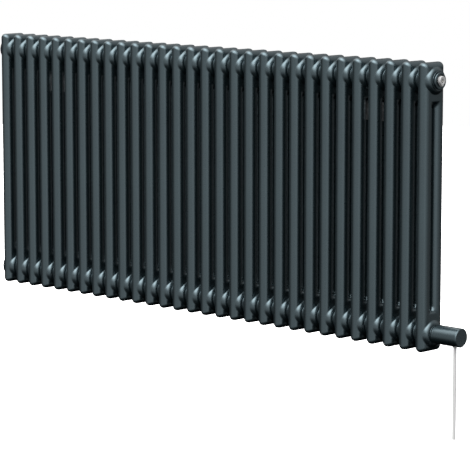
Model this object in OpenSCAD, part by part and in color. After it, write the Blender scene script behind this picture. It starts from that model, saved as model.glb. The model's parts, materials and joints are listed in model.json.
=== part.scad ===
// Wall-hung steel column radiator, two tubes deep, with an air vent at the top of its right-hand end
// and an electric heating element in the bottom of the same end.
//
// Millimetres. X runs along the radiator towards the vent and the element, -Y is the room side, +Z is up.
// The origin is the middle of the wall screws' pattern, on the wall's surface.

/* [Radiator] */
// Number of sections, side by side
sections = 30; // [12:1:30]
// Distance from one section to the next
pitch = 45; // [42:1:50]
// Overall height of the sections
height = 600; // [400:10:900]
// Distance of each header's axis from the top or bottom of the radiator
hub_inset = 37.5; // [36:0.5:42]
// Gap between the wall and the rear tubes
wall_gap = 36; // [30:1:60]

/* [Section] */
// Outside diameter of a tube
tube_d = 27.5; // [25:0.5:28]
// Distance between the front tube's axis and the rear tube's axis
tube_row = 36.5; // [35:0.5:42]
// Wall thickness of a tube
tube_wall = 1.25; // [1:0.05:2]
// Wall thickness of a head
head_wall = 1.5; // [1.2:0.1:2]
// Height of a head, down to the slot between the two tubes
head_h = 90; // [80:1:100]
// Radius of the head's long top edges, seen from the front
crown_r = 12; // [10:0.5:13]
// Radius of the head's top corners, seen from the end
corner_r = 8; // [5:0.5:12]

/* [Hub] */
// Radius of a hub's welded rim
rim_r = 20.3; // [19:0.1:21]
// Radius of the weld groove beside the rim
groove_r = 19; // [17.5:0.1:19]
// Radius of the waterway through a hub
bore_r = 16; // [15:0.5:16.5]

/* [Plugs and vent] */
// Nominal outside radius of the thread on every plug
thread_r = 13.2; // [10:0.1:14]
// Radius of a plug's flange
plug_r = 17.5; // [16.5:0.1:19]
// Thickness of a plug's flange
plug_t = 3; // [2:0.25:5]
// Radius of the vent nozzle's round body
nozzle_r = 9; // [7:0.5:11]
// Thickness of the vent nozzle
nozzle_t = 6.5; // [5:0.5:9]
// Distance of the nozzle's spout below its axis
spout_drop = 11; // [9:0.5:14]
// Radius of the bleed screw's shank
screw_r = 3; // [2.5:0.1:4]
// Width across the flats of the bleed screw's square head
square_w = 4; // [3.5:0.1:4.2]

/* [Heating element] */
// Outside radius of the housing
housing_r = 19.2; // [17:0.1:22]
// Length of the housing, from the element's plug to its end cap
housing_l = 60; // [50:1:90]
// Wall thickness of the housing
housing_wall = 2; // [1.5:0.1:3]
// Length of the heating rod in the bottom header
rod_l = 560; // [300:10:600]
// Radius of the heating rod's sheath
rod_r = 4.2; // [3.5:0.1:5]
// Outside diameter of the mains cord
cord_d = 7.5; // [5:0.5:8]

/* [Wall brackets] */
// Number of sections between each bracket and the nearer end of the radiator
bracket_inset = 4; // [1:1:5]
// Distance of each wall plate's middle from the top or bottom of the radiator
bracket_drop = 110; // [110:5:130]
// Width of a wall plate
plate_w = 30; // [25:1:40]
// Height of a wall plate
plate_h = 90; // [80:1:120]
// Thickness of a wall plate
plate_t = 4; // [3:0.5:6]
// Thickness of the arm that carries a hub
arm_t = 3; // [2:0.1:3]
// Radius of each wall screw hole
screw_hole_r = 3.5; // [2.5:0.25:4]
// Distance between the two screw holes of one wall plate
screw_gap = 60; // [50:1:70]
// Radius of the threaded rod that ties the radiator back
stay_r = 4; // [3:0.5:5]

/* [Hidden] */
$fn = 96;

tube_r = tube_d / 2;
depth = tube_row + tube_d;
axis_y = -(wall_gap + depth / 2);
half_h = height / 2;
hub_z = half_h - hub_inset;
end_x = sections * pitch / 2;
half_pitch = pitch / 2;
head_z = half_h - head_h;
slot_r = (tube_row - tube_d) / 2;

// Hub, as a profile turned about the header's axis
dome_r = 11;
dome_x = 9.3;
dome_y = 18;
dome_end = 20.2;
groove_end = 21;
chamber_r = 23;
chamber_half = 15.5;

// Ends of the headers: a threaded boss inside the last hub, then a gasket and a plug's flange
boss_l = 14;
shank_l = 12;
gasket_t = 1;
gasket_r = 16;
flange_x = end_x + gasket_t;
face_x = flange_x + plug_t;
dish_r = 13.5;
dish_depth = 1.2;
socket_w = 17;
socket_depth = 7;
running_gap = 0.08;

// Vent nozzle, with its neck in the plug
nozzle_x = face_x - dish_depth + 0.4;
nozzle_end = nozzle_x + nozzle_t;
neck_r = 6.5;
neck_l = 7;
neck_groove_r = 5;
ring_r = 0.75;
tip_half = 2.2;
outlet_r = 1.3;
body_lift = 1.5;

// Bleed screw, with its cone against a seat in the plug
thread_end = nozzle_x - neck_l - 0.3;
screw_tip_x = thread_end - 7;
cone_l = 2;
cone_r = 1.2;
screw_groove_r = 2.15;
seal_r = 0.4;
seal_x = screw_tip_x + cone_l + 2.5;
square_l = 3.5;
screw_end = nozzle_end - 0.6;

// Heating element
housing_end = face_x + housing_l;
cap_t = 3;
bevel = 1;
spigot_l = 6;
rod_side = 6.2;
rod_lift = 2.5;
pocket_r = 3;
pocket_drop = 6.5;
pocket_l = 220;
rod_out = 11;
pin_r = 1.25;
pin_l = 8;
block_x = face_x + 20;
block_l = 18;

// Strain relief through the underside of the housing
cord_x = housing_end - 14;
relief_top = -hub_z - 3.5;
relief_neck = -hub_z - housing_r - 0.5;
relief_tip = relief_neck - 1;
relief_r = cord_d / 2 + 1.5;

// Mains cord, hanging straight down: hand-chosen distances of its axis' points below the strain relief
cord_route = [0, 12, 24, 36, 48, 60, 72, 84, 96, 108, 120, 132, 144, 156, 167, 177, 186.8];
cord_sides = 12;

// Wall brackets stand at the joints between sections
bracket_x = end_x - bracket_inset * pitch;
bracket_z = half_h - bracket_drop;
hook_w = 6;
clamp_w = pitch + 9;
clamp_h = 40;
clamp_t = 3;
clamp_face = axis_y + slot_r - clamp_t;
nut_w = 13;
nut_t = 6.5;

SECTION_NODES = [for (i = [1:sections]) section_name(i)];
OTHER_NODES = [
    "port_bosses", "air_vent_plug", "air_vent_gasket", "vent_nozzle", "nozzle_o_ring", "bleed_screw",
    "bleed_o_ring", "blank_plug_top", "blank_plug_bottom", "blank_gasket_top", "blank_gasket_bottom",
    "element_plug", "element_gasket", "heating_rod", "thermostat_pocket", "element_housing",
    "element_end_cap", "end_cap_seal", "terminal_block", "thermal_cut_out", "internal_wires",
    "cord_strain_relief", "mains_cord", "bracket_lower_left", "bracket_lower_right",
    "bracket_upper_left", "bracket_upper_right", "stay_rods", "stay_clamps", "stay_nuts"
];

function section_name(i) = str("section_", i < 10 ? "0" : "", i);
function section_x(i) = (i - (sections + 1) / 2) * pitch;

// Colours
paint = [0.27, 0.31, 0.33];
plated = [0.72, 0.72, 0.71];
brass = [0.72, 0.58, 0.30];
rubber = [0.08, 0.08, 0.08];
steel = [0.62, 0.62, 0.64];
cord_white = [0.88, 0.88, 0.88];
ceramic = [0.90, 0.88, 0.82];

// ---------------------------------------------------------------- helpers

// Stands what was drawn along +Z on a header's axis, pointing along +X from x.
module on_header(x, z) {
    translate([x, axis_y, z]) rotate([0, 90, 0]) children();
}

// Two circles joined by a square: the plan of a head.
module stadium(r) {
    square([2 * r, tube_row], center = true);
    for (side = [-1, 1]) translate([0, side * tube_row / 2]) circle(r = r);
}

// A rectangle standing on y = 0 with its two top corners rounded.
module rounded_top(w, h, r) {
    translate([-w / 2, 0]) square([w, h - r]);
    translate([-w / 2 + r, 0]) square([w - 2 * r, h]);
    for (side = [-1, 1]) translate([side * (w / 2 - r), h - r]) circle(r = r);
}

// A flat ring with its bottom face at z = 0.
module washer(r_out, r_in, t) {
    difference() {
        cylinder(r = r_out, h = t);
        translate([0, 0, -1]) cylinder(r = r_in, h = t + 2);
    }
}

module o_ring(r_mid, r_cord) {
    rotate_extrude() translate([r_mid, 0]) circle(r = r_cord, $fn = 48);
}

// A plug's flange with a bevelled edge and a dished face, and its shank on the inner side.
// Z = 0 is the flange's sealing face.
module plug_body() {
    translate([0, 0, -shank_l]) cylinder(r = thread_r, h = shank_l);
    difference() {
        union() {
            cylinder(r = plug_r, h = plug_t - bevel);
            translate([0, 0, plug_t - bevel]) cylinder(r1 = plug_r, r2 = plug_r - bevel, h = bevel);
        }
        translate([0, 0, plug_t - dish_depth]) cylinder(r = dish_r, h = 2);
    }
}

// ---------------------------------------------------------------- sections

// A head's body, drawn inwards by inset. Its lower face is at z = 0.
module head_block(h, inset) {
    r = tube_r - inset;
    intersection() {
        linear_extrude(height = h) stadium(r);
        translate([0, depth, 0]) rotate([90, 0, 0])
            linear_extrude(height = 2 * depth) rounded_top(2 * r, h, crown_r - inset);
        translate([-tube_d, 0, 0]) rotate([90, 0, 90])
            linear_extrude(height = 2 * tube_d) rounded_top(depth - 2 * inset + 0.8, h, corner_r - inset / 2);
    }
}

// One side of a hub, turned about Z: a domed shoulder, the weld groove and the rim.
module hub_half() {
    rotate_extrude() {
        square([groove_r, half_pitch]);
        translate([0, groove_end]) square([rim_r, half_pitch - groove_end]);
        square([dome_y, dome_end]);
        intersection() {
            translate([dome_y, dome_x]) circle(r = dome_r);
            translate([dome_y - 1, 0]) square([dome_r + 2, dome_end]);
        }
    }
}

// The upper half of a section, from its middle up, hollow for the water.
module section_half() {
    ceiling = slot_r + head_wall + 1;
    difference() {
        union() {
            for (side = [-1, 1]) translate([0, side * tube_row / 2, 0]) cylinder(r = tube_r, h = head_z);
            translate([0, 0, head_z]) head_block(head_h, 0);
            for (side = [-1, 1]) translate([0, 0, hub_z]) rotate([0, side * 90, 0]) hub_half();
        }
        translate([0, 0, head_z + ceiling]) head_block(head_h - ceiling - head_wall, head_wall);
        for (side = [-1, 1]) translate([0, side * tube_row / 2, -1])
            cylinder(r = tube_r - tube_wall, h = head_z + ceiling + 4);
        translate([-tube_d, 0, head_z]) rotate([0, 90, 0]) cylinder(r = slot_r, h = 2 * tube_d);
        translate([-chamber_half, 0, hub_z]) rotate([0, 90, 0]) cylinder(r = chamber_r, h = 2 * chamber_half);
        translate([-pitch, 0, hub_z]) rotate([0, 90, 0]) cylinder(r = bore_r, h = 2 * pitch);
    }
}

module section(i) {
    color(paint) translate([section_x(i), axis_y, 0]) {
        section_half();
        mirror([0, 0, 1]) section_half();
    }
}

// ---------------------------------------------------------------- ends of the headers

// The threaded rings welded into the four open hubs.
module port_bosses() {
    color(paint)
        for (x = [-end_x, end_x - boss_l], z = [-hub_z, hub_z])
            on_header(x, z) washer(bore_r, thread_r, boss_l);
}

module plug_gasket() {
    color(rubber) washer(gasket_r, thread_r, gasket_t);
}

module air_vent_gasket() { on_header(end_x, hub_z) plug_gasket(); }

module element_gasket() { on_header(end_x, -hub_z) plug_gasket(); }

module blank_gasket_top() { on_header(-end_x - gasket_t, hub_z) plug_gasket(); }

module blank_gasket_bottom() { on_header(-end_x - gasket_t, -hub_z) plug_gasket(); }

// A blank plug with a hexagonal socket for its key.
module blank_plug(z) {
    color(paint) translate([-flange_x, axis_y, z]) rotate([0, -90, 0]) difference() {
        plug_body();
        translate([0, 0, plug_t - dish_depth - socket_depth])
            cylinder(r = socket_w / sqrt(3), h = socket_depth + 1, $fn = 6);
    }
}

module blank_plug_top() { blank_plug(hub_z); }

module blank_plug_bottom() { blank_plug(-hub_z); }

// ---------------------------------------------------------------- air vent

// The plug that carries the vent: a wide bore for the nozzle's neck, a narrow one for the bleed screw,
// then the cone of the valve's seat.
module air_vent_plug() {
    color(paint) difference() {
        on_header(flange_x, hub_z) plug_body();
        on_header(thread_end, hub_z) cylinder(r = neck_r + running_gap, h = shank_l);
        on_header(screw_tip_x + cone_l - 0.1, hub_z) cylinder(r = screw_r + running_gap, h = shank_l);
        on_header(screw_tip_x - 0.1, hub_z)
            cylinder(r1 = cone_r + running_gap, r2 = screw_r + running_gap, h = cone_l);
        on_header(flange_x - shank_l - 1, hub_z) cylinder(r = cone_r + running_gap, h = shank_l);
    }
}

// The outline of the nozzle's body, seen from the end: round above, drawn down to a narrow spout.
module nozzle_outline() {
    translate([0, body_lift]) circle(r = nozzle_r);
    polygon([
        [-tip_half, -spout_drop], [tip_half, -spout_drop], [nozzle_r - 0.6, 0], [0.6 - nozzle_r, 0]
    ]);
}

// The nozzle turns in the plug, so that its spout can point to any side.
module vent_nozzle() {
    color(plated) difference() {
        union() {
            translate([nozzle_x, axis_y, hub_z]) rotate([90, 0, 90])
                linear_extrude(height = nozzle_t) nozzle_outline();
            on_header(nozzle_x - neck_l, hub_z) cylinder(r = neck_r, h = neck_l);
        }
        on_header(nozzle_x - neck_l - 1, hub_z) cylinder(r = screw_r + running_gap, h = neck_l + nozzle_t + 2);
        on_header(nozzle_x - neck_l / 2 - ring_r, hub_z) washer(neck_r + 1, neck_groove_r, 2 * ring_r);
        translate([nozzle_x + nozzle_t / 2, axis_y, hub_z - spout_drop - 1]) cylinder(r = outlet_r, h = spout_drop);
    }
}

module nozzle_o_ring() {
    color(rubber) on_header(nozzle_x - neck_l / 2, hub_z) o_ring((neck_r + neck_groove_r) / 2, ring_r);
}

// A plain shank with a cone at its inner end, a groove for its O-ring and a square for the key.
module bleed_screw() {
    color(brass) {
        on_header(screw_tip_x, hub_z) cylinder(r1 = cone_r, r2 = screw_r, h = cone_l);
        difference() {
            on_header(screw_tip_x + cone_l, hub_z)
                cylinder(r = screw_r, h = screw_end - square_l - screw_tip_x - cone_l);
            on_header(seal_x - seal_r - 0.3, hub_z) washer(screw_r + 1, screw_groove_r, 2 * seal_r + 0.6);
        }
        translate([screw_end - square_l / 2, axis_y, hub_z]) cube([square_l, square_w, square_w], center = true);
    }
}

module bleed_o_ring() {
    color(rubber) on_header(seal_x, hub_z) o_ring(screw_r - seal_r, seal_r);
}

// ---------------------------------------------------------------- heating element

module each_rod_leg() {
    for (side = [-1, 1]) translate([0, side * rod_side, rod_lift]) children();
}

// The threaded head of the element, bored for the rod's two legs and for the thermostat's pocket.
module element_plug() {
    color(paint) difference() {
        on_header(flange_x, -hub_z) plug_body();
        each_rod_leg() on_header(flange_x - shank_l - 1, -hub_z) cylinder(r = rod_r, h = shank_l + plug_t + 2);
        translate([0, 0, -pocket_drop]) on_header(flange_x - shank_l - 1, -hub_z)
            cylinder(r = pocket_r, h = shank_l + plug_t + 2);
    }
}

// A sheathed rod bent into a hairpin, with a pin at each open end.
module heating_rod() {
    color(steel) {
        each_rod_leg() on_header(flange_x - rod_l, -hub_z) cylinder(r = rod_r, h = rod_l + rod_out);
        each_rod_leg() on_header(flange_x + rod_out, -hub_z) cylinder(r = pin_r, h = pin_l);
        translate([flange_x - rod_l, axis_y, rod_lift - hub_z]) rotate([0, 0, 90])
            rotate_extrude(angle = 180) translate([rod_side, 0]) circle(r = rod_r);
    }
}

// A closed tube beside the rod, which holds the thermostat's probe.
module thermostat_pocket() {
    color(steel) translate([0, 0, -pocket_drop]) difference() {
        on_header(flange_x - pocket_l, -hub_z) cylinder(r = pocket_r, h = pocket_l + rod_out);
        on_header(flange_x - pocket_l + 1, -hub_z) cylinder(r = pocket_r - 0.5, h = pocket_l + rod_out);
    }
}

module element_housing() {
    color(paint) difference() {
        on_header(face_x, -hub_z) washer(housing_r, housing_r - housing_wall, housing_l);
        translate([cord_x, axis_y, relief_neck - 4]) cylinder(r = relief_r, h = 16);
    }
}

// A flat disc with a bevelled edge, on a spigot that holds its seal.
module element_end_cap() {
    spigot_r = housing_r - housing_wall;
    color(paint) {
        difference() {
            on_header(housing_end - spigot_l, -hub_z) washer(spigot_r, spigot_r - 3, spigot_l);
            on_header(housing_end - spigot_l / 2 - ring_r, -hub_z)
                washer(spigot_r + 1, spigot_r - 2 * ring_r, 2 * ring_r);
        }
        on_header(housing_end, -hub_z) cylinder(r = housing_r, h = cap_t - bevel);
        on_header(housing_end + cap_t - bevel, -hub_z)
            cylinder(r1 = housing_r, r2 = housing_r - bevel, h = bevel);
    }
}

module end_cap_seal() {
    color(rubber) on_header(housing_end - spigot_l / 2, -hub_z)
        o_ring(housing_r - housing_wall - ring_r, ring_r);
}

// A ceramic block with three pairs of screw wells.
module terminal_block() {
    color(ceramic) translate([block_x, axis_y, -hub_z]) difference() {
        translate([0, -10, -4]) cube([block_l, 20, 12]);
        for (x = [5, 13], y = [-6, 0, 6]) translate([x, y, 4]) cylinder(r = 1.8, h = 6);
    }
}

// A small bimetal switch above the rod's legs.
module thermal_cut_out() {
    color(ceramic) translate([0, 0, 11.5]) on_header(face_x + 1, -hub_z) cylinder(r = 4, h = 9);
}

// The wires from the terminal block to the cord's strain relief.
module internal_wires() {
    wire_r = 0.9;
    wire_z = 1 - hub_z;
    color(plated) for (side = [-1, 0, 1]) translate([0, axis_y + 2.2 * side, 0]) {
        translate([cord_x, 0, relief_top]) cylinder(r = wire_r, h = wire_z - relief_top);
        translate([cord_x, 0, wire_z]) sphere(r = wire_r);
        translate([block_x + block_l, 0, wire_z]) rotate([0, 90, 0])
            cylinder(r = wire_r, h = cord_x - block_x - block_l);
    }
}

// A bush through the housing's underside that grips the cord.
module cord_strain_relief() {
    color(cord_white) translate([cord_x, axis_y, 0]) {
        translate([0, 0, relief_neck]) cylinder(r = relief_r, h = relief_top - relief_neck);
        translate([0, 0, relief_tip]) cylinder(r1 = relief_r - 1, r2 = relief_r, h = 1);
    }
}

// One ring of the cord's skin, drop below the strain relief.
function cord_ring(drop) = [
    for (k = [0:cord_sides - 1])
        [cord_d / 2 * cos(360 * k / cord_sides), cord_d / 2 * sin(360 * k / cord_sides), -drop]
];

// The cord as one closed tube, ring by ring along its route.
module mains_cord() {
    rings = len(cord_route);
    points = [for (drop = cord_route) each cord_ring(drop)];
    sides = [
        for (j = [0:rings - 2], k = [0:cord_sides - 1])
            let (n = (k + 1) % cord_sides, a = j * cord_sides, b = a + cord_sides)
            [a + k, a + n, b + n, b + k]
    ];
    top = [[for (k = [cord_sides - 1:-1:0]) k]];
    bottom = [[for (k = [0:cord_sides - 1]) (rings - 1) * cord_sides + k]];
    color(cord_white) translate([cord_x, axis_y, relief_tip]) polyhedron(points, concat(sides, top, bottom));
}

// ---------------------------------------------------------------- wall brackets

// A plate against the wall, with its two screw holes.
module wall_plate(x, z) {
    difference() {
        translate([x - plate_w / 2, -plate_t, z - plate_h / 2]) cube([plate_w, plate_t, plate_h]);
        for (side = [-1, 1]) translate([x, 1, z + side * screw_gap / 2]) rotate([90, 0, 0])
            cylinder(r = screw_hole_r, h = plate_t + 2);
    }
}

// The arm's outline, seen from the end: a gusset down from the wall plate, and a hook under the hub's rim.
module arm_outline() {
    difference() {
        union() {
            polygon([
                [-plate_t, -bracket_z], [-plate_t, -bracket_z - plate_h / 2],
                [axis_y, -hub_z - rim_r - hook_w], [axis_y + rim_r + hook_w, -hub_z]
            ]);
            translate([axis_y, -hub_z]) circle(r = rim_r + hook_w);
        }
        translate([axis_y, -hub_z]) circle(r = rim_r);
        translate([axis_y - 2 * rim_r, -hub_z]) square([3 * rim_r, 2 * rim_r]);
    }
}

module bracket_lower(x) {
    color(paint) {
        wall_plate(x, -bracket_z);
        translate([x - arm_t / 2, 0, 0]) rotate([90, 0, 90]) linear_extrude(height = arm_t) arm_outline();
    }
}

module bracket_lower_left() { bracket_lower(-bracket_x); }

module bracket_lower_right() { bracket_lower(bracket_x); }

// The upper plate, with a hole for the stay's rod.
module bracket_upper(x) {
    color(paint) difference() {
        wall_plate(x, bracket_z);
        translate([x, 1, bracket_z]) rotate([90, 0, 0]) cylinder(r = stay_r, h = plate_t + 2);
    }
}

module bracket_upper_left() { bracket_upper(-bracket_x); }

module bracket_upper_right() { bracket_upper(bracket_x); }

// Threaded rods, screwed into the upper plates, that run out between the rear tubes.
module stay_rods() {
    stay_l = nut_t + 1 - clamp_face;
    color(steel) for (side = [-1, 1]) translate([side * bracket_x, 0, bracket_z]) rotate([90, 0, 0])
        cylinder(r = stay_r, h = stay_l);
}

// Plates across two rear tubes, in the space between the rows.
module stay_clamps() {
    color(steel) for (side = [-1, 1]) translate([side * bracket_x, clamp_face, bracket_z])
        difference() {
            translate([-clamp_w / 2, 0, -clamp_h / 2]) cube([clamp_w, clamp_t, clamp_h]);
            translate([0, clamp_t + 1, 0]) rotate([90, 0, 0]) cylinder(r = stay_r, h = clamp_t + 2);
        }
}

// A nut on each rod that locks it to its wall plate, and one that draws its clamp back against the tubes.
module stay_nuts() {
    color(steel) for (side = [-1, 1], y = [-plate_t, clamp_face])
        translate([side * bracket_x, y, bracket_z]) rotate([90, 0, 0]) difference() {
            cylinder(r = nut_w / sqrt(3), h = nut_t, $fn = 6);
            translate([0, 0, -1]) cylinder(r = stay_r, h = nut_t + 2);
        }
}

// ---------------------------------------------------------------- assembly

for (i = [1:sections]) section(i);
port_bosses();
air_vent_plug();
air_vent_gasket();
vent_nozzle();
nozzle_o_ring();
bleed_screw();
bleed_o_ring();
blank_plug_top();
blank_plug_bottom();
blank_gasket_top();
blank_gasket_bottom();
element_plug();
element_gasket();
heating_rod();
thermostat_pocket();
element_housing();
element_end_cap();
end_cap_seal();
terminal_block();
thermal_cut_out();
internal_wires();
cord_strain_relief();
mains_cord();
bracket_lower_left();
bracket_lower_right();
bracket_upper_left();
bracket_upper_right();
stay_rods();
stay_clamps();
stay_nuts();
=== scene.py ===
"""Wall-hung steel column radiator with an air vent and an electric element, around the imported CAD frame.

Lengths are in millimetres, and MM turns them into metres. The camera's place, the floor and the depth of
bumps are in metres. X runs along the radiator, and -Y is the room side.
"""
import json
import math

import bmesh
import bpy
import numpy as np
from mathutils import Matrix, Vector


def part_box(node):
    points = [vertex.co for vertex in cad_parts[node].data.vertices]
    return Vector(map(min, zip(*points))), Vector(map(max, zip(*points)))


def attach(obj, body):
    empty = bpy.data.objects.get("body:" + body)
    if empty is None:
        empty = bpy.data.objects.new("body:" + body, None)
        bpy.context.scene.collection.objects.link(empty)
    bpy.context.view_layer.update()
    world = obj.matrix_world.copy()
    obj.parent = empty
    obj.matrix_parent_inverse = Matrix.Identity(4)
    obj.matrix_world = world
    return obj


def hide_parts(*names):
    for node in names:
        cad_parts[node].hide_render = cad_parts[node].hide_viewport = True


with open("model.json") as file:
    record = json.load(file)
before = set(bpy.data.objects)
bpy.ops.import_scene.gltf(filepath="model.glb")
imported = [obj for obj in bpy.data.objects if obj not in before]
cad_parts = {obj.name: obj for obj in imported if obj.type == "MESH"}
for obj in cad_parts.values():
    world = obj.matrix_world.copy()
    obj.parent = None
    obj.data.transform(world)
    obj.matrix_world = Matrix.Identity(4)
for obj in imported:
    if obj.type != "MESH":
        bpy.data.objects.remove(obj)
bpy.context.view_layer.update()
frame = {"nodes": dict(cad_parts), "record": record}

MM = 0.001

# ---------------------------------------------------------------- sizes, from the frame

SECTION_NAMES = sorted(n for n in frame["nodes"] if n.startswith("section_"))
FIRST_LOW, FIRST_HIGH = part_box(SECTION_NAMES[0])
LAST_LOW, LAST_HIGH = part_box(SECTION_NAMES[-1])
PITCH = (FIRST_HIGH.x - FIRST_LOW.x) / MM
HALF_HEIGHT = FIRST_HIGH.z / MM
AXIS_Y = (FIRST_LOW.y + FIRST_HIGH.y) / 2 / MM
DEPTH = (FIRST_HIGH.y - FIRST_LOW.y) / MM
VENT_LOW, VENT_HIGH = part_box("air_vent_plug")
HUB_Z = (VENT_LOW.z + VENT_HIGH.z) / 2 / MM
END_X = LAST_HIGH.x / MM
HOUSING_LOW, HOUSING_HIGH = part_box("element_housing")
RELIEF_LOW, RELIEF_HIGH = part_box("cord_strain_relief")

# The section, from its own middle: tubes, head, and the web that closes the slot between the tubes
TUBE_R = 13.95
TUBE_ROW = DEPTH - 2 * TUBE_R
HEAD_Z = HALF_HEIGHT - 90
SLOT_R = TUBE_ROW / 2 - TUBE_R
CROWN_R = 12.5
CORNER_R = 8
# How far a tube runs on inside the head
TUBE_REACH = 24
# Half the web's thickness at the slot's end, and the heights over HEAD_Z between which it grows to full
WEB_HALF = 7
WEB_FROM = -2
WEB_TO = 12
WEB_BLEND = 6
# The tubes run softly into the web: fully so inside the first of each pair, and not at all past the second
SADDLE_ACROSS = (11, 18)
SADDLE_UP = (2, 14)
SADDLE_BLEND = 5

# The hub: its domed sides, and the ring where two sections meet
DOME_R = 11
DOME_X = 9.3
DOME_Y = 18
DOME_BLEND = 1.2
RING_X = 19.4
RING_BORE_R = 12
RIM_R = 20.3
GROOVE_R = 19
GROOVE_END = 21

# The grid on which a section's skin is made
GRID_X = 21.6
GRID_Y = 33.6
GRID_STEP = 1.2
GRID_STEP_Z = 1.3
GRID_UNDER_HEAD = 14
GRID_OVER_TOP = 3

# Plugs on the ends of the headers
FLANGE_X = END_X + 1
FACE_X = FLANGE_X + 3
PLUG_R = 17.5
NECK_X = END_X - 11
NECK_R = 13.1
VENT_BORE_R = 6.6
DISH_R = 13.5
DISH_DEPTH = 1.2
FLANGE_EDGE = 1.3
SOCKET_W = 17
SOCKET_DEPTH = 7
SMALL_EDGE = 0.3

# The housing is a little fuller than in the CAD, and its axis a little above the header's
HOUSING_SWELL = 0.9
HOUSING_RISE = 0.8
HOUSING_Z = HOUSING_RISE - HUB_Z
HOUSING_WALL = 3
NECK_STEP = 2.2
SEAM_EDGE = 0.15
CAP_EDGE = 1.7

# The vent's nozzle
NOZZLE_R = 9
NOZZLE_LIFT = 1.5
NOZZLE_EDGE = 1.3
STEM_R = 6.4
SCREW_BORE_R = 3.15
SPOUT_R = 2.2
SPOUT_DROP = 11
SPOUT_BORE_R = 1.3

# Strain relief and cord: the route is a list of distances below the strain relief
RELIEF_R = (RELIEF_HIGH.x - RELIEF_LOW.x) / 2 / MM
RELIEF_EDGE = 1
CORD_ROUTE = [0, 12, 24, 36, 48, 60, 72, 84, 96, 108, 120, 132, 144, 156, 168, 181, 194]
CORD_X = 725
CORD_D = 7.5

# Points round a turned piece, and round the nozzle
SIDES = 96
NOZZLE_SIDES = 120

# ---------------------------------------------------------------- camera

# Angles of the view, and where the camera stands from the radiator's middle, in metres
CAMERA_AZIMUTH = 44.335
CAMERA_ELEVATION = 8.248
CAMERA_RIGHT = 0.0662
CAMERA_UP = -0.1218
CAMERA_BACK = 5.6543
CAMERA_LENS = 193.45


def make_camera():
    a, e = math.radians(CAMERA_AZIMUTH), math.radians(CAMERA_ELEVATION)
    back = Vector((math.sin(a) * math.cos(e), -math.cos(a) * math.cos(e), math.sin(e)))
    right = Vector((math.cos(a), math.sin(a), 0))
    up = back.cross(right)
    data = bpy.data.cameras.new("camera")
    data.lens = CAMERA_LENS
    data.sensor_width = 36
    data.clip_end = 50
    cam = bpy.data.objects.new("camera", data)
    bpy.context.scene.collection.objects.link(cam)
    middle = Vector((0, AXIS_Y * MM, 0))
    cam.location = middle + right * CAMERA_RIGHT + up * CAMERA_UP + back * CAMERA_BACK
    cam.rotation_mode = "QUATERNION"
    cam.rotation_quaternion = Matrix((right, up, back)).transposed().to_quaternion()
    bpy.context.scene.camera = cam


make_camera()

# ---------------------------------------------------------------- mesh helpers


def new_object(name, mesh, body, material, replaced, place=(0, 0, 0)):
    """Puts a mesh in the scene as a piece that rides on a CAD body and stands for one CAD node."""
    piece = bpy.data.objects.new(name, mesh)
    bpy.context.scene.collection.objects.link(piece)
    if not mesh.materials:
        mesh.materials.append(material)
    piece.location = place
    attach(piece, body)
    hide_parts(replaced)


def mesh_of(name, vertices, faces):
    """A smooth-shaded mesh from points in millimetres."""
    mesh = bpy.data.meshes.new(name)
    mesh.from_pydata([tuple(c * MM for c in v) for v in vertices], [], [tuple(f) for f in faces])
    mesh.validate()
    mesh.update()
    mesh.polygons.foreach_set("use_smooth", [True] * len(mesh.polygons))
    return mesh


def turned(profile, sides=SIDES, closed=False):
    """Points and faces of a profile of (x, r) pairs turned about the X axis. A radius of 0 makes a pole."""
    points, rings = [], []
    for x, r in profile:
        if r == 0:
            rings.append([len(points)] * sides)
            points.append((x, 0, 0))
        else:
            start = len(points)
            rings.append(list(range(start, start + sides)))
            for k in range(sides):
                t = 2 * math.pi * k / sides
                points.append((x, r * math.cos(t), r * math.sin(t)))
    faces = []
    pairs = list(zip(rings, rings[1:]))
    if closed:
        pairs.append((rings[-1], rings[0]))
    for a, b in pairs:
        for k in range(sides):
            n = (k + 1) % sides
            corners = [a[k], b[k], b[n], a[n]]
            corners = [c for i, c in enumerate(corners) if c not in corners[:i]]
            if len(corners) > 2:
                faces.append(corners)
    return points, faces


def arc(x, r, radius, start, end, steps=5):
    """Points of an arc in a turned profile, round (x, r), with angles in degrees from +X towards +r."""
    return [
        (
            x + radius * math.cos(math.radians(start + (end - start) * i / steps)),
            r + radius * math.sin(math.radians(start + (end - start) * i / steps)),
        )
        for i in range(steps + 1)
    ]


def shifted(points, y=0, z=0):
    """Points moved along Y and Z."""
    return [(p[0], p[1] + y, p[2] + z) for p in points]


def joined(*shells):
    """Several (points, faces) shells as one."""
    points, faces = [], []
    for more_points, more_faces in shells:
        start = len(points)
        points += list(more_points)
        faces += [[c + start for c in f] for f in more_faces]
    return points, faces


def sharpen(mesh, degrees=35):
    """Marks the edges that turn by more than an angle as sharp, so that the rest shades smoothly."""
    bm = bmesh.new()
    bm.from_mesh(mesh)
    limit = math.radians(degrees)
    for edge in bm.edges:
        if len(edge.link_faces) == 2 and edge.calc_face_angle(0) > limit:
            edge.smooth = False
    bm.to_mesh(mesh)
    bm.free()
    return mesh


# ---------------------------------------------------------------- smooth solids from a field


def smooth_min(a, b, k):
    """The smaller of two distances, blended where they differ by less than k."""
    k = np.maximum(k, 1e-6)
    h = np.maximum(k - np.abs(a - b), 0) / k
    return np.minimum(a, b) - h * h * k / 4


def smooth_max(a, b, k):
    """The larger of two distances, blended where they differ by less than k."""
    return -smooth_min(-a, -b, k)


def rounded_edge(a, b, r):
    """The overlap of two half-spaces, given as distances, with the edge between them rounded."""
    outside = np.hypot(np.maximum(a + r, 0), np.maximum(b + r, 0))
    return np.minimum(np.maximum(a + r, b + r), 0) + outside - r


def fade(value, full, none):
    """1 at full, 0 at none, and smooth between."""
    t = np.clip((value - none) / (full - none), 0, 1)
    return t * t * (3 - 2 * t)


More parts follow.
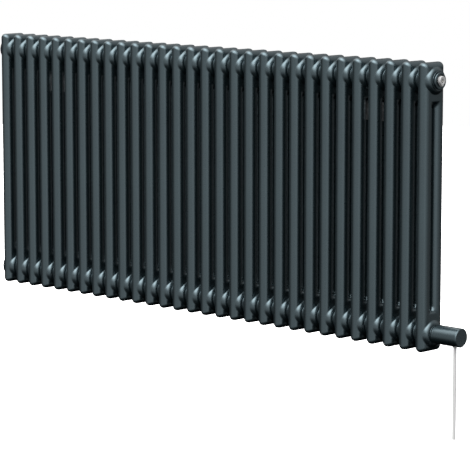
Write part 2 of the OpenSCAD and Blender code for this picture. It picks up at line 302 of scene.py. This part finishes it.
def surface_net(field, xs, ys, zs, steps=3):
    """The zero surface of a field as quads, one point in each grid cell that the surface crosses."""
    shape = (len(xs), len(ys), len(zs))
    lines = (np.asarray(xs, float), np.asarray(ys, float), np.asarray(zs, float))
    grid = np.stack(np.meshgrid(*lines, indexing="ij"), -1)
    value = field(grid[..., 0], grid[..., 1], grid[..., 2])
    inside = value < 0
    cells = tuple(n - 1 for n in shape)
    total, count = np.zeros(cells + (3,)), np.zeros(cells)
    quads_of = []
    for axis in range(3):
        low = [slice(None)] * 3
        high = [slice(None)] * 3
        low[axis], high[axis] = slice(None, -1), slice(1, None)
        low, high = tuple(low), tuple(high)
        crossed = inside[low] != inside[high]
        va, vb = value[low], value[high]
        t = np.where(crossed, va / np.where(crossed, va - vb, 1), 0)
        where = grid[low] + (grid[high] - grid[low]) * t[..., None]
        at = np.argwhere(crossed)
        spots = where[crossed]
        others = [i for i in range(3) if i != axis]
        ring = []
        for du, dv in ((1, 1), (0, 1), (0, 0), (1, 0)):
            cell = at.copy()
            cell[:, others[0]] -= du
            cell[:, others[1]] -= dv
            ok = np.all((cell >= 0) & (cell < np.array(cells)), axis=1)
            place = tuple(cell[ok].T)
            np.add.at(total, place, spots[ok])
            np.add.at(count, place, 1)
            ring.append((cell, ok))
        whole = np.all([ok for _, ok in ring], axis=0)
        flip = inside[low][crossed]
        if axis == 1:
            flip = ~flip
        quads_of.append(([cell for cell, _ in ring], whole, flip))
    used = count > 0
    number = np.full(cells, -1)
    number[used] = np.arange(used.sum())
    points = total[used] / count[used][:, None]
    faces = []
    for ring, whole, flip in quads_of:
        corners = np.stack([number[tuple(cell[whole].T)] for cell in ring], 1)
        turn = flip[whole]
        corners[~turn] = corners[~turn][:, ::-1]
        faces.append(corners)
    faces = np.concatenate(faces)
    for _ in range(steps):
        points = onto_surface(field, points)
    return points, faces


def onto_surface(field, points, h=1e-3):
    """Moves each point along the field's slope to where the field is zero."""
    x, y, z = points.T
    value = field(x, y, z)
    slope = np.stack([
        field(x + h, y, z) - field(x - h, y, z),
        field(x, y + h, z) - field(x, y - h, z),
        field(x, y, z + h) - field(x, y, z - h),
    ], 1) / (2 * h)
    size = np.maximum((slope ** 2).sum(1), 0.25)
    return points - slope * np.clip(value / size, -1, 1)[:, None]


# ---------------------------------------------------------------- radiator section


def section_field(x, y, z):
    """Below zero inside a section: two tubes, a head at each end and the domes of the hubs."""
    side, across, up = np.abs(x), np.abs(y), np.abs(z)
    beyond = across - TUBE_ROW / 2
    tube = np.hypot(x, beyond) - TUBE_R
    plan = np.hypot(x, np.maximum(beyond, 0)) - TUBE_R
    sideways = side ** 2 / (side ** 2 + np.maximum(beyond, 0) ** 2 + 1e-9)
    taper = side - TUBE_R + (TUBE_R - WEB_HALF) * fade(up, HEAD_Z + WEB_FROM, HEAD_Z + WEB_TO)
    edge = CORNER_R + (CROWN_R - CORNER_R) * sideways
    head = rounded_edge(np.maximum(plan, taper), up - HALF_HEIGHT, edge)
    arch = np.maximum(HEAD_Z - up, SLOT_R - np.hypot(y, up - HEAD_Z))
    web = smooth_max(head, arch, WEB_BLEND)
    near_saddle = fade(across, *SADDLE_ACROSS) * fade(up - HEAD_Z, *SADDLE_UP)
    body = smooth_min(np.maximum(tube, up - HEAD_Z - TUBE_REACH), web, SADDLE_BLEND * near_saddle)
    from_axis = np.hypot(y, up - HUB_Z)
    dome = np.hypot(np.maximum(from_axis - DOME_Y, 0), np.maximum(side - DOME_X, 0)) - DOME_R
    return smooth_min(body, dome, DOME_BLEND)


def grid_line(reach):
    """Evenly spaced values from -reach to reach."""
    return np.linspace(-reach, reach, round(2 * reach / GRID_STEP) + 1)


def hub_rings():
    """The four rings on a section's hubs, each a closed shell with a groove behind its rim."""
    inner, outer = 0.4, 0.35
    half = PITCH / 2
    rings = []
    for end in (-1, 1):
        profile = [(RING_X, RING_BORE_R), (RING_X, GROOVE_R), (GROOVE_END - 0.15, GROOVE_R)]
        profile += arc(GROOVE_END + inner, RIM_R - inner, inner, 180, 90, 3)
        profile += arc(half - outer, RIM_R - outer, outer, 90, 10, 3)
        profile += [(half, RIM_R - 0.9), (half, RING_BORE_R)]
        points, faces = turned([(end * x, r) for x, r in profile], 72, closed=True)
        if end > 0:
            faces = [f[::-1] for f in faces]
        for hub in (-HUB_Z, HUB_Z):
            rings.append((shifted(points, z=hub), faces))
    return rings


def section_mesh():
    """One section: its skin and the rings on its hubs. The grid has no lines along the straight tubes."""
    top = np.arange(HEAD_Z - GRID_UNDER_HEAD, HALF_HEIGHT + GRID_OVER_TOP, GRID_STEP_Z)
    zs = np.concatenate([-top[::-1], top])
    skin, quads = surface_net(section_field, grid_line(GRID_X), grid_line(GRID_Y), zs)
    points, faces = joined((skin.tolist(), quads.tolist()), *hub_rings())
    return sharpen(mesh_of("radiator_section", points, faces), 40)


# ---------------------------------------------------------------- materials


def material(name):
    """A new material with nodes: itself, its node tree and its Principled shader."""
    made = bpy.data.materials.new(name)
    made.use_nodes = True
    tree = made.node_tree
    return made, tree, tree.nodes["Principled BSDF"]


def noise_on(tree, scale, detail):
    """A noise texture laid on the object's own coordinates."""
    place = tree.nodes.new("ShaderNodeTexCoord")
    noise = tree.nodes.new("ShaderNodeTexNoise")
    noise.inputs["Scale"].default_value = scale
    noise.inputs["Detail"].default_value = detail
    tree.links.new(place.outputs["Object"], noise.inputs["Vector"])
    return noise


def drive(tree, shader, socket, noise, low, high, start=0.3, end=0.7):
    """Drives a shader's input from low to high by a noise, between two of its values."""
    made = tree.nodes.new("ShaderNodeValToRGB")
    made.color_ramp.elements[0].position = start
    made.color_ramp.elements[1].position = end
    made.color_ramp.elements[0].color = (*low, 1)
    made.color_ramp.elements[1].color = (*high, 1)
    tree.links.new(noise.outputs["Fac"], made.inputs["Fac"])
    tree.links.new(made.outputs["Color"], shader.inputs[socket])


def bump_on(tree, shader, noise, strength, distance):
    """Roughens a shader's surface by a noise."""
    bump = tree.nodes.new("ShaderNodeBump")
    bump.inputs["Strength"].default_value = strength
    bump.inputs["Distance"].default_value = distance
    tree.links.new(noise.outputs["Fac"], bump.inputs["Height"])
    tree.links.new(bump.outputs["Normal"], shader.inputs["Normal"])


def grey(value):
    """A colour with three equal parts."""
    return (value, value, value)


def paint_material():
    """Satin anthracite powder coat with a fine orange peel."""
    made, tree, shader = material("anthracite_paint")
    patches = noise_on(tree, scale=9, detail=2)
    drive(tree, shader, "Base Color", patches, (0.002, 0.004, 0.005), (0.003, 0.006, 0.007))
    peel = noise_on(tree, scale=420, detail=2)
    drive(tree, shader, "Roughness", peel, grey(0.26), grey(0.33))
    bump_on(tree, shader, peel, 0.12, 0.0002)
    shader.inputs["IOR"].default_value = 1.6
    shader.inputs["Specular IOR Level"].default_value = 1
    shader.inputs["Specular Tint"].default_value = (0.69, 0.90, 0.99, 1)
    return made


def plated_material():
    """Satin nickel plate with a fine grain."""
    made, tree, shader = material("satin_nickel")
    grain = noise_on(tree, scale=900, detail=3)
    drive(tree, shader, "Base Color", grain, grey(0.29), grey(0.36))
    drive(tree, shader, "Roughness", grain, grey(0.50), grey(0.60))
    bump_on(tree, shader, grain, 0.1, 0.0001)
    shader.inputs["Metallic"].default_value = 0.15
    return made


def brass_material():
    """Dull, pale brass."""
    made, tree, shader = material("dull_brass")
    grain = noise_on(tree, scale=1200, detail=3)
    drive(tree, shader, "Base Color", grain, (0.50, 0.49, 0.46), (0.60, 0.58, 0.54))
    drive(tree, shader, "Roughness", grain, grey(0.3), grey(0.42))
    shader.inputs["Metallic"].default_value = 0.5
    return made


def rubber_material():
    """Black seal rubber."""
    made, tree, shader = material("black_rubber")
    grain = noise_on(tree, scale=800, detail=4)
    drive(tree, shader, "Base Color", grain, grey(0.010), grey(0.018))
    bump_on(tree, shader, grain, 0.2, 0.0002)
    shader.inputs["Roughness"].default_value = 0.75
    return made


def steel_material():
    """Zinc-plated steel, slightly mottled."""
    made, tree, shader = material("zinc_steel")
    mottle = noise_on(tree, scale=160, detail=4)
    drive(tree, shader, "Base Color", mottle, (0.36, 0.37, 0.38), (0.50, 0.51, 0.52), 0.35, 0.65)
    drive(tree, shader, "Roughness", mottle, grey(0.30), grey(0.45), 0.35, 0.65)
    shader.inputs["Metallic"].default_value = 0.9
    return made


def ceramic_material():
    """Cream steatite with a fine grain."""
    made, tree, shader = material("steatite")
    grain = noise_on(tree, scale=600, detail=4)
    drive(tree, shader, "Base Color", grain, (0.72, 0.69, 0.60), (0.80, 0.77, 0.69))
    bump_on(tree, shader, grain, 0.15, 0.0002)
    shader.inputs["Roughness"].default_value = 0.65
    return made


def cord_material():
    """Soft white cable sheath."""
    made, tree, shader = material("white_sheath")
    grain = noise_on(tree, scale=500, detail=3)
    drive(tree, shader, "Base Color", grain, grey(0.40), grey(0.43))
    drive(tree, shader, "Roughness", grain, grey(0.58), grey(0.68))
    bump_on(tree, shader, grain, 0.06, 0.0001)
    return made


PAINT = paint_material()
PLATED = plated_material()
BRASS = brass_material()
RUBBER = rubber_material()
STEEL = steel_material()
CERAMIC = ceramic_material()
SHEATH = cord_material()
SLOT_MATERIALS = {
    "painted_steel": PAINT, "plated_metal": PLATED, "brass": BRASS, "rubber": RUBBER,
    "bare_steel": STEEL, "ceramic": CERAMIC, "wire": SHEATH, "cord_plastic": SHEATH,
}


def dress_cad_nodes():
    """Gives every CAD node the material of its slot."""
    for entry in frame["record"]["subparts"]:
        node = frame["nodes"][entry["node"]]
        node.data.materials.clear()
        node.data.materials.append(SLOT_MATERIALS[entry["material_slot"]])


dress_cad_nodes()


# ---------------------------------------------------------------- pieces


def make_sections():
    """One mesh, shared by every section."""
    mesh = section_mesh()
    for name in SECTION_NAMES:
        low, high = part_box(name)
        place = ((low.x + high.x) / 2, AXIS_Y * MM, 0)
        new_object("radiator_" + name, mesh, "radiator", PAINT, name, place)


make_sections()


def bored(mesh, centre, depth, radius):
    """The mesh with a round hole cut along Z, round an (x, y) centre and between two heights."""
    sides = 32
    angles = [2 * math.pi * k / sides for k in range(sides)]
    circle = [(centre[0] + radius * math.cos(t), centre[1] + radius * math.sin(t)) for t in angles]
    rings = [[(x, y, z) for x, y in circle] for z in depth]
    faces = [[k, (k + 1) % sides, (k + 1) % sides + sides, k + sides] for k in range(sides)]
    faces += [list(range(sides))[::-1], list(range(sides, 2 * sides))]
    cutter = bpy.data.objects.new("cutter", mesh_of("cutter", rings[0] + rings[1], faces))
    blank = bpy.data.objects.new("blank", mesh)
    for piece in (cutter, blank):
        bpy.context.scene.collection.objects.link(piece)
    cut = blank.modifiers.new("bore", "BOOLEAN")
    cut.operation = "DIFFERENCE"
    cut.solver = "EXACT"
    cut.object = cutter
    made = bpy.data.meshes.new_from_object(blank.evaluated_get(bpy.context.evaluated_depsgraph_get()))
    for piece in (cutter, blank):
        bpy.data.objects.remove(piece)
    return made


def lofted(rings, closed=True):
    """Points and faces of a skin over rings that all have the same number of points."""
    sides = len(rings[0])
    points = [p for ring in rings for p in ring]
    faces = []
    last = len(rings) if closed else len(rings) - 1
    for j in range(last):
        a, b = j * sides, (j + 1) % len(rings) * sides
        faces += [[a + k, b + k, b + (k + 1) % sides, a + (k + 1) % sides] for k in range(sides)]
    if not closed:
        faces += [list(range(sides)), list(range(last * sides, (last + 1) * sides))[::-1]]
    return points, faces


def on_axis(points, z, flip=False):
    """Points drawn round the X axis, moved to a header's axis, and turned end for end if flip."""
    if flip:
        points = [(-p[0], -p[1], p[2]) for p in points]
    return shifted(points, y=AXIS_Y, z=z)


def outward(mesh):
    """Makes every face of a mesh look outward."""
    bm = bmesh.new()
    bm.from_mesh(mesh)
    bmesh.ops.recalc_face_normals(bm, faces=bm.faces)
    bm.to_mesh(mesh)
    bm.free()
    return mesh


def flange_profile():
    """A plug's flange and dished face, as (x, r) points from the back of the flange to the dish."""
    lip, corner = 0.5, 0.4
    edge = FLANGE_EDGE
    profile = [(FLANGE_X, PLUG_R - SMALL_EDGE), (FLANGE_X + SMALL_EDGE, PLUG_R)]
    profile += arc(FACE_X - edge, PLUG_R - edge, edge, 90, 0, 6)
    profile += [(FACE_X, DISH_R + 0.6)] + arc(FACE_X - lip, DISH_R + lip, lip, -10, -80, 3)
    profile += arc(FACE_X - DISH_DEPTH + corner, DISH_R - 0.3, corner, 90, 180, 3)
    return profile


def ring_of(x, r, sides=SIDES):
    """Points round a circle."""
    angles = [2 * math.pi * k / sides for k in range(sides)]
    return [(x, r * math.cos(t), r * math.sin(t)) for t in angles]


def hexagon(x, width):
    """Points round a hexagon of a width across its flats, at the same angles as ring_of."""
    ring = []
    for k in range(SIDES):
        t = 2 * math.pi * k / SIDES
        r = width / 2 / math.cos((t + math.pi / 6) % (math.pi / 3) - math.pi / 6)
        ring.append((x, r * math.cos(t), r * math.sin(t)))
    return ring


def make_vent_plug():
    """The plug that holds the air vent, with a bore for the nozzle's stem."""
    profile = [(NECK_X, VENT_BORE_R), (NECK_X, NECK_R), (FLANGE_X, NECK_R)]
    profile += flange_profile() + [(FACE_X - DISH_DEPTH, VENT_BORE_R)]
    points, faces = turned(profile, closed=True)
    mesh = sharpen(outward(mesh_of("vent_plug", on_axis(points, HUB_Z), faces)))
    new_object("vent_plug", mesh, "radiator", PAINT, "air_vent_plug")


def make_element_plug():
    """The flange of the element, without the bores that its housing hides."""
    low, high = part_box("element_plug")
    radius = (high.z - low.z) / 2 / MM + HOUSING_SWELL + HOUSING_RISE
    chamfer = 0.6
    profile = [(NECK_X, 0), (NECK_X, NECK_R), (FLANGE_X, NECK_R), (FLANGE_X, radius - SMALL_EDGE)]
    profile += [(FLANGE_X + SMALL_EDGE, radius), (FACE_X - chamfer, radius)]
    profile += [(FACE_X, radius - chamfer), (FACE_X, 0)]
    points, faces = turned(profile)
    mesh = sharpen(outward(mesh_of("element_plug_flange", on_axis(points, -HUB_Z), faces)))
    new_object("element_plug_flange", mesh, "radiator", PAINT, "element_plug")


def make_blank_plugs():
    """The two plugs at the other end, with a hexagonal socket in the dish. A tiny ring closes each end."""
    dish, closing_r, chamfer = FACE_X - DISH_DEPTH, 0.01, 0.4
    bottom = dish - SOCKET_DEPTH
    for name, z in (("blank_plug_top", HUB_Z), ("blank_plug_bottom", -HUB_Z)):
        rings = [ring_of(NECK_X, closing_r), ring_of(NECK_X, NECK_R), ring_of(FLANGE_X, NECK_R)]
        rings += [ring_of(x, r) for x, r in flange_profile()]
        rings += [hexagon(dish, SOCKET_W + 2 * chamfer), hexagon(dish - chamfer, SOCKET_W)]
        rings += [hexagon(bottom, SOCKET_W), ring_of(bottom, closing_r)]
        points, faces = lofted(rings, closed=False)
        mesh = sharpen(outward(mesh_of(name, on_axis(points, z, flip=True), faces)))
        new_object(name + "_cover", mesh, "radiator", PAINT, name)


def make_housing():
    """The thermostat housing: a tube with a narrow neck at the flange and a hole for the strain relief."""
    low, high = (c / MM for c in (HOUSING_LOW, HOUSING_HIGH))
    radius = (high.z - low.z) / 2 + HOUSING_SWELL
    inner = radius - HOUSING_WALL
    neck_end, shoulder = low.x + 1.1, 0.5
    profile = [(low.x, inner), (low.x, radius - NECK_STEP), (neck_end, radius - NECK_STEP)]
    profile += arc(neck_end + shoulder, radius - shoulder, shoulder, 180, 90, 3)
    profile += [(x, radius) for x in np.linspace(low.x + 2.5, high.x - 1, 12)]
    profile += arc(high.x - SEAM_EDGE, radius - SEAM_EDGE, SEAM_EDGE, 90, 0, 2) + [(high.x, inner)]
    points, faces = turned(profile, closed=True)
    mesh = outward(mesh_of("housing", on_axis(points, HOUSING_Z), faces))
    place = (RELIEF_LOW + RELIEF_HIGH) / 2 / MM
    mesh = bored(mesh, (place.x, place.y), (low.z - 4, low.z + 8), RELIEF_R)
    mesh.materials.clear()
    new_object("housing", sharpen(mesh), "radiator", PAINT, "element_housing")


def make_end_cap():
    """The cap on the housing's end: a spigot inside the tube, and a chamfered disc over its edge."""
    low, high = (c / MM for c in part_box("element_end_cap"))
    radius = (high.z - low.z) / 2 + HOUSING_SWELL
    seam = HOUSING_HIGH.x / MM
    spigot_r = radius - NECK_STEP
    profile = [(low.x, 0), (low.x, spigot_r), (seam, spigot_r), (seam, radius - SEAM_EDGE)]
    profile += [(seam + SEAM_EDGE, radius), (high.x - CAP_EDGE, radius), (high.x, radius - CAP_EDGE)]
    profile += [(high.x, 10), (high.x, 0)]
    points, faces = turned(profile)
    mesh = sharpen(outward(mesh_of("end_cap", on_axis(points, HOUSING_Z), faces)))
    new_object("end_cap", mesh, "radiator", PAINT, "element_end_cap")


def nozzle_outline(x, inset):
    """The hull of a wide circle and a narrow one for the spout below it, drawn in by inset."""
    ring = []
    for k in range(NOZZLE_SIDES):
        t = 2 * math.pi * k / NOZZLE_SIDES
        wide = NOZZLE_LIFT * math.sin(t) + NOZZLE_R
        narrow = (SPOUT_R - SPOUT_DROP) * math.sin(t) + SPOUT_R
        centre, r = (NOZZLE_LIFT, NOZZLE_R) if wide >= narrow else (SPOUT_R - SPOUT_DROP, SPOUT_R)
        ring.append((x, (r - inset) * math.cos(t), centre + (r - inset) * math.sin(t)))
    return ring


def make_nozzle():
    """The swivelling nozzle: a stem in the plug, a head with its spout, and a mouth for the bleed screw."""
    low, high = (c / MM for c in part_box("vent_nozzle"))
    back, front, edge = FACE_X - DISH_DEPTH + 0.4, high.x, NOZZLE_EDGE
    stem = ((front - 0.7, SCREW_BORE_R), (low.x, SCREW_BORE_R), (low.x, STEM_R), (back, STEM_R))
    mouth = ((front, 4.4), (front - 0.15, 4.1))
    rings = [ring_of(x, r, NOZZLE_SIDES) for x, r in stem]
    rings += [nozzle_outline(back, SMALL_EDGE), nozzle_outline(back + SMALL_EDGE, 0)]
    rings += [nozzle_outline(front - 3, 0), nozzle_outline(front - edge, 0)]
    rounding = arc(front - edge, NOZZLE_R - edge, edge, 75, 0, 5)
    rings += [nozzle_outline(x, NOZZLE_R - r) for x, r in rounding]
    rings += [ring_of(x, r, NOZZLE_SIDES) for x, r in mouth]
    points, faces = lofted(rings)
    mesh = outward(mesh_of("nozzle", on_axis(points, HUB_Z), faces))
    spout_z = HUB_Z - SPOUT_DROP
    mesh = bored(mesh, ((back + front) / 2, AXIS_Y), (spout_z - 2, spout_z + 6), SPOUT_BORE_R)
    mesh.materials.clear()
    new_object("nozzle", sharpen(mesh), "vent_nozzle", PLATED, "vent_nozzle")


def make_relief():
    """The bush that grips the cord, with a rounded lip."""
    low, high = (c / MM for c in (RELIEF_LOW, RELIEF_HIGH))
    x, y = (low.x + high.x) / 2, (low.y + high.y) / 2
    edge = RELIEF_EDGE
    profile = [(high.z, 0), (high.z, RELIEF_R), (low.z + edge, RELIEF_R)]
    profile += [(low.z + edge - c, r) for c, r in arc(0, RELIEF_R - edge, edge, 90, 0, 4)]
    profile += [(low.z, 0)]
    points, faces = turned(profile, 48)
    points = [(x + p[1], y + p[2], p[0]) for p in points]
    mesh = sharpen(outward(mesh_of("strain_relief", points, faces)))
    new_object("strain_relief", mesh, "radiator", SHEATH, "cord_strain_relief")


def make_cord():
    """The mains cord, hanging straight down from the strain relief."""
    top = RELIEF_LOW.z / MM
    path = [(CORD_X * MM, AXIS_Y * MM, (top - drop) * MM) for drop in CORD_ROUTE]
    curve = bpy.data.curves.new("cord", "CURVE")
    curve.dimensions = "3D"
    curve.bevel_depth = CORD_D / 2 * MM
    curve.bevel_resolution = 8
    curve.use_fill_caps = True
    spline = curve.splines.new("POLY")
    spline.points.add(len(path) - 1)
    for point, place in zip(spline.points, path):
        point.co = (*place, 1)
    spline.use_smooth = True
    piece = bpy.data.objects.new("mains_lead", curve)
    bpy.context.scene.collection.objects.link(piece)
    curve.materials.append(SHEATH)
    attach(piece, "radiator")
    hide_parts("mains_cord")


def soften(names, width):
    """Rounds the sharp edges of CAD nodes that stay in view."""
    for name in names:
        node = frame["nodes"][name]
        weld = node.modifiers.new("weld", "WELD")
        weld.merge_threshold = 1e-6
        bevel = node.modifiers.new("bevel", "BEVEL")
        bevel.width = width * MM
        bevel.segments = 2
        bevel.limit_method = "ANGLE"
        bevel.angle_limit = math.radians(35)
        bevel.harden_normals = True


make_vent_plug()
make_element_plug()
make_blank_plugs()
make_housing()
make_end_cap()
make_nozzle()
make_relief()
make_cord()
soften(["bracket_lower_left", "bracket_lower_right", "bracket_upper_left", "bracket_upper_right"], 0.5)
soften(["stay_clamps", "stay_nuts", "bleed_screw"], 0.25)

# ---------------------------------------------------------------- floor and light

# Patches of sky: azimuth and elevation of the middle, how far the patch reaches and how strong it is.
# Angles are in degrees. An azimuth of 0 is the room side, and 90 is the +X side.
SKY_PATCHES = [
    ((12, 0), 88, 0.78), ((80, 0), 45, 0.5), ((135, 0), 45, 0.22),
    ((-10, 62), 50, 3.3), ((45, 52), 50, 3.8), ((-98, 46), 48, 1.6), ((170, 50), 50, 0.6),
]
SKY_FILL = 0.04
# Below the horizon the sky darkens between these two heights on the unit sphere, to a share of its strength
SKY_DARK_Z = -0.6
SKY_LIT_Z = -0.15
SKY_DARK = 0.05
FLOOR_SIZE = 14
FLOOR_Z = -0.75


def make_floor():
    """A white floor under the radiator, which only the camera sees."""
    bpy.ops.mesh.primitive_plane_add(size=FLOOR_SIZE, location=(0, 0, FLOOR_Z))
    floor = bpy.context.object
    floor.name = "floor"
    made, tree, shader = material("floor")
    shader.inputs["Base Color"].default_value = (0.9, 0.9, 0.9, 1)
    shader.inputs["Roughness"].default_value = 0.9
    shader.inputs["Emission Color"].default_value = (1, 1, 1, 1)
    shader.inputs["Emission Strength"].default_value = 0.5
    floor.data.materials.append(made)
    floor.visible_diffuse = False
    floor.visible_glossy = False


def sky_from(tree, centre, spread, strength):
    """A soft patch of sky as a value: strength at its centre, and fading out by spread degrees."""
    place = tree.nodes.new("ShaderNodeTexCoord")
    toward = tree.nodes.new("ShaderNodeVectorMath")
    toward.operation = "DOT_PRODUCT"
    azimuth, elevation = (math.radians(angle) for angle in centre)
    level = math.cos(elevation)
    direction = (math.sin(azimuth) * level, -math.cos(azimuth) * level, math.sin(elevation))
    toward.inputs[1].default_value = direction
    tree.links.new(place.outputs["Generated"], toward.inputs[0])
    patch = tree.nodes.new("ShaderNodeMapRange")
    patch.interpolation_type = "SMOOTHSTEP"
    patch.inputs["From Min"].default_value = math.cos(math.radians(spread))
    patch.inputs["From Max"].default_value = 1
    patch.inputs["To Min"].default_value = 0
    patch.inputs["To Max"].default_value = strength
    tree.links.new(toward.outputs["Value"], patch.inputs["Value"])
    return patch.outputs["Result"]


def make_light():
    """Soft light as the world's own glow, on a background that the camera sees as plain white."""
    world = bpy.data.worlds.new("studio")
    world.use_nodes = True
    tree = world.node_tree
    light = tree.nodes["Background"]
    total = None
    for centre, spread, strength in SKY_PATCHES:
        patch = sky_from(tree, centre, spread, strength)
        if total is None:
            total = patch
        else:
            add = tree.nodes.new("ShaderNodeMath")
            tree.links.new(total, add.inputs[0])
            tree.links.new(patch, add.inputs[1])
            total = add.outputs["Value"]
    fill = tree.nodes.new("ShaderNodeMath")
    fill.inputs[1].default_value = SKY_FILL
    tree.links.new(total, fill.inputs[0])
    place = tree.nodes.new("ShaderNodeTexCoord")
    split = tree.nodes.new("ShaderNodeSeparateXYZ")
    tree.links.new(place.outputs["Generated"], split.inputs["Vector"])
    horizon = tree.nodes.new("ShaderNodeMapRange")
    horizon.interpolation_type = "SMOOTHSTEP"
    horizon.inputs["From Min"].default_value = SKY_DARK_Z
    horizon.inputs["From Max"].default_value = SKY_LIT_Z
    horizon.inputs["To Min"].default_value = SKY_DARK
    tree.links.new(split.outputs["Z"], horizon.inputs["Value"])
    lit = tree.nodes.new("ShaderNodeMath")
    lit.operation = "MULTIPLY"
    tree.links.new(fill.outputs["Value"], lit.inputs[0])
    tree.links.new(horizon.outputs["Result"], lit.inputs[1])
    tree.links.new(lit.outputs["Value"], light.inputs["Strength"])
    white = tree.nodes.new("ShaderNodeBackground")
    white.inputs["Color"].default_value = (1, 1, 1, 1)
    seen = tree.nodes.new("ShaderNodeLightPath")
    mix = tree.nodes.new("ShaderNodeMixShader")
    tree.links.new(seen.outputs["Is Camera Ray"], mix.inputs["Fac"])
    tree.links.new(light.outputs["Background"], mix.inputs[1])
    tree.links.new(white.outputs["Background"], mix.inputs[2])
    tree.links.new(mix.outputs["Shader"], tree.nodes["World Output"].inputs["Surface"])
    light.inputs["Color"].default_value = (1, 1, 1, 1)
    bpy.context.scene.world = world
    bpy.context.scene.view_settings.view_transform = "Standard"


make_floor()
make_light()
